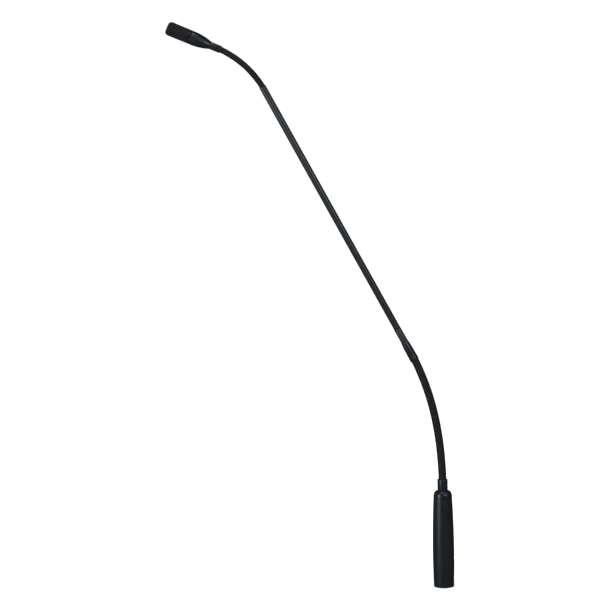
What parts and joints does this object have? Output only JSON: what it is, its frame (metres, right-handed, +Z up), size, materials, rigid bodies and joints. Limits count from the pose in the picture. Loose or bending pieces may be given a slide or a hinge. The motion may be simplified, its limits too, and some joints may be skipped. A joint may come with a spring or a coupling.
{
  "type": "gooseneck podium microphone",
  "caption": "Slim condenser microphone on a bent stem with two flexible sections, rising from a tapered base that plugs in from above.",
  "frame": {"origin": "centre of the plug's mouth, in the plane of its rim", "axes": "+Z up the base's axis, away from the plug's mouth; the stem bends in the X-Z plane towards -X; +X is the side of the plug's key, latch window and screw"},
  "size_m": [0.2444, 0.019, 0.5069],
  "materials": {
    "housing_lacquer": "satin black lacquer on die-cast zinc",
    "plug_moulding": "glass-filled black moulding",
    "contact_plating": "machined brass, thinly gold plated",
    "spring_strip": "rolled spring strip",
    "screw_black": "black oxide steel",
    "lead_insulation": "extruded insulation",
    "board_laminate": "green solder mask on glass laminate",
    "capacitor_sleeve": "shrunk sleeve on aluminium can",
    "film_box": "moulded box",
    "chip_epoxy": "moulded epoxy",
    "header_nylon": "natural nylon",
    "ring_nylon": "natural nylon",
    "grommet_rubber": "moulded rubber",
    "ferrule_lacquer": "satin black lacquer on turned brass",
    "nut_nickel": "dull nickel plate",
    "coil_black": "black oxide wire, close wound",
    "coupling_lacquer": "satin black lacquer on turned brass",
    "sleeve_black": "shrunk sleeve",
    "tube_lacquer": "satin black lacquer on drawn tube",
    "cable_jacket": "soft jacket",
    "head_lacquer": "satin black lacquer on turned brass",
    "grille_cloth": "fine woven wire cloth, matt black",
    "foam_grey": "open-cell foam",
    "seat_moulding": "black moulding",
    "capsule_can_metal": "drawn can",
    "capsule_rubber": "moulded rubber",
    "capsule_brass": "turned brass",
    "diaphragm_film": "metallised film",
    "capsule_moulding": "natural moulding"
  },
  "bodies": {
    "base": {"housing_shell": "housing_lacquer", "xlr_insert": "plug_moulding", "contact_pin_1": "contact_plating", "contact_pin_2": "contact_plating", "contact_pin_3": "contact_plating", "ground_spring": "spring_strip", "insert_screw": "screw_black", "pin_leads": "lead_insulation", "board_ring_lower": "ring_nylon", "board_ring_upper": "ring_nylon", "preamp_board": "board_laminate", "storage_capacitors": "capacitor_sleeve", "film_capacitor": "film_box", "buffer_chip": "chip_epoxy", "output_transistors": "chip_epoxy", "board_header": "header_nylon", "stem_plug": "header_nylon", "cable_grommet": "grommet_rubber", "base_ferrule": "ferrule_lacquer", "ferrule_nut": "nut_nickel", "lock_washer": "nut_nickel", "lower_coil_foot": "coil_black"},
    "lower_link_1": {"lower_coil_link_1": "coil_black"},
    "lower_link_2": {"lower_coil_link_2": "coil_black"},
    "lower_link_3": {"lower_coil_link_3": "coil_black"},
    "lower_link_4": {"lower_coil_link_4": "coil_black"},
    "lower_link_5": {"lower_coil_link_5": "coil_black"},
    "lower_link_6": {"lower_coil_link_6": "coil_black"},
    "lower_link_7": {"lower_coil_link_7": "coil_black"},
    "lower_link_8": {"lower_coil_link_8": "coil_black"},
    "stem_tube": {"lower_coil_head": "coil_black", "tube_coupling": "coupling_lacquer", "coupling_sleeve": "sleeve_black", "rigid_tube": "tube_lacquer", "upper_coil_foot": "coil_black", "signal_cable": "cable_jacket"},
    "upper_link_1": {"upper_coil_link_1": "coil_black"},
    "upper_link_2": {"upper_coil_link_2": "coil_black"},
    "upper_link_3": {"upper_coil_link_3": "coil_black"},
    "upper_link_4": {"upper_coil_link_4": "coil_black"},
    "upper_link_5": {"upper_coil_link_5": "coil_black"},
    "upper_link_6": {"upper_coil_link_6": "coil_black"},
    "head": {"upper_coil_head": "coil_black", "head_collar": "head_lacquer", "head_body": "head_lacquer", "grille": "grille_cloth", "foam_liner": "foam_grey", "capsule_seat": "seat_moulding", "capsule_can": "capsule_can_metal", "capsule_ring_front": "capsule_rubber", "capsule_ring_rear": "capsule_rubber", "diaphragm_ring": "capsule_brass", "diaphragm": "diaphragm_film", "spacer_ring": "capsule_moulding", "backplate": "capsule_brass", "backplate_holder": "capsule_moulding", "fet_board": "board_laminate", "field_effect_transistor": "chip_epoxy", "capsule_leads": "lead_insulation"}
  },
  "joints": [
    {"name": "lower_bend_1", "type": "hinge", "parent": "base", "child": "lower_link_1", "pos_m": [0, 0, 0.10234], "axis": [0, -1, 0], "range_deg": [-17.6, 10.2], "deforming": ["signal_cable"]},
    {"name": "lower_sway_1", "type": "hinge", "parent": "lower_link_1", "child": "lower_link_2", "pos_m": [-0.00082, 0, 0.11459], "axis": [-0.9978, 0, -0.0666], "range_deg": [-15.2, 15.2]},
    {"name": "lower_bend_2", "type": "hinge", "parent": "lower_link_2", "child": "lower_link_3", "pos_m": [-0.00164, 0, 0.12684], "axis": [0, -1, 0], "range_deg": [-17.6, 10.2]},
    {"name": "lower_sway_2", "type": "hinge", "parent": "lower_link_3", "child": "lower_link_4", "pos_m": [-0.00345, 0, 0.13898], "axis": [-0.989, 0, -0.1478], "range_deg": [-15.2, 15.2]},
    {"name": "lower_bend_3", "type": "hinge", "parent": "lower_link_4", "child": "lower_link_5", "pos_m": [-0.00527, 0, 0.15113], "axis": [0, -1, 0], "range_deg": [-17.6, 10.2]},
    {"name": "lower_sway_3", "type": "hinge", "parent": "lower_link_5", "child": "lower_link_6", "pos_m": [-0.00825, 0, 0.16304], "axis": [-0.9701, 0, -0.2426], "range_deg": [-15.2, 15.2]},
    {"name": "lower_bend_4", "type": "hinge", "parent": "lower_link_6", "child": "lower_link_7", "pos_m": [-0.01122, 0, 0.17495], "axis": [0, -1, 0], "range_deg": [-17.6, 10.2]},
    {"name": "lower_sway_4", "type": "hinge", "parent": "lower_link_7", "child": "lower_link_8", "pos_m": [-0.01551, 0, 0.18645], "axis": [-0.937, 0, -0.3492], "range_deg": [-15.2, 15.2]},
    {"name": "lower_bend_5", "type": "hinge", "parent": "lower_link_8", "child": "stem_tube", "pos_m": [-0.0198, 0, 0.19796], "axis": [0, -1, 0], "range_deg": [-17.6, 10.2]},
    {"name": "upper_bend_1", "type": "hinge", "parent": "stem_tube", "child": "upper_link_1", "pos_m": [-0.15297, 0, 0.45161], "axis": [0, -1, 0], "range_deg": [-21, 15]},
    {"name": "upper_sway_1", "type": "hinge", "parent": "upper_link_1", "child": "upper_link_2", "pos_m": [-0.15726, 0, 0.45724], "axis": [-0.7952, 0, -0.6063], "range_deg": [-14.9, 14.9]},
    {"name": "upper_bend_2", "type": "hinge", "parent": "upper_link_2", "child": "upper_link_3", "pos_m": [-0.16156, 0, 0.46288], "axis": [0, -1, 0], "range_deg": [-21, 15]},
    {"name": "upper_sway_2", "type": "hinge", "parent": "upper_link_3", "child": "upper_link_4", "pos_m": [-0.16674, 0, 0.46771], "axis": [-0.6826, 0, -0.7308], "range_deg": [-14.9, 14.9]},
    {"name": "upper_bend_3", "type": "hinge", "parent": "upper_link_4", "child": "upper_link_5", "pos_m": [-0.17192, 0, 0.47255], "axis": [0, -1, 0], "range_deg": [-21, 15]},
    {"name": "upper_sway_3", "type": "hinge", "parent": "upper_link_5", "child": "upper_link_6", "pos_m": [-0.17783, 0, 0.47645], "axis": [-0.5508, 0, -0.8346], "range_deg": [-14.9, 14.9]},
    {"name": "upper_bend_4", "type": "hinge", "parent": "upper_link_6", "child": "head", "pos_m": [-0.18374, 0, 0.48036], "axis": [0, -1, 0], "range_deg": [-21, 15]}
  ],
  "couplings": [
    {"joint": "lower_bend_2", "follows": "lower_bend_1", "ratio": 1},
    {"joint": "lower_sway_2", "follows": "lower_sway_1", "ratio": 1},
    {"joint": "lower_bend_3", "follows": "lower_bend_1", "ratio": 1},
    {"joint": "lower_sway_3", "follows": "lower_sway_1", "ratio": 1},
    {"joint": "lower_bend_4", "follows": "lower_bend_1", "ratio": 1},
    {"joint": "lower_sway_4", "follows": "lower_sway_1", "ratio": 1},
    {"joint": "lower_bend_5", "follows": "lower_bend_1", "ratio": 1},
    {"joint": "upper_bend_2", "follows": "upper_bend_1", "ratio": 1},
    {"joint": "upper_sway_2", "follows": "upper_sway_1", "ratio": 1},
    {"joint": "upper_bend_3", "follows": "upper_bend_1", "ratio": 1},
    {"joint": "upper_sway_3", "follows": "upper_sway_1", "ratio": 1},
    {"joint": "upper_bend_4", "follows": "upper_bend_1", "ratio": 1}
  ]
}
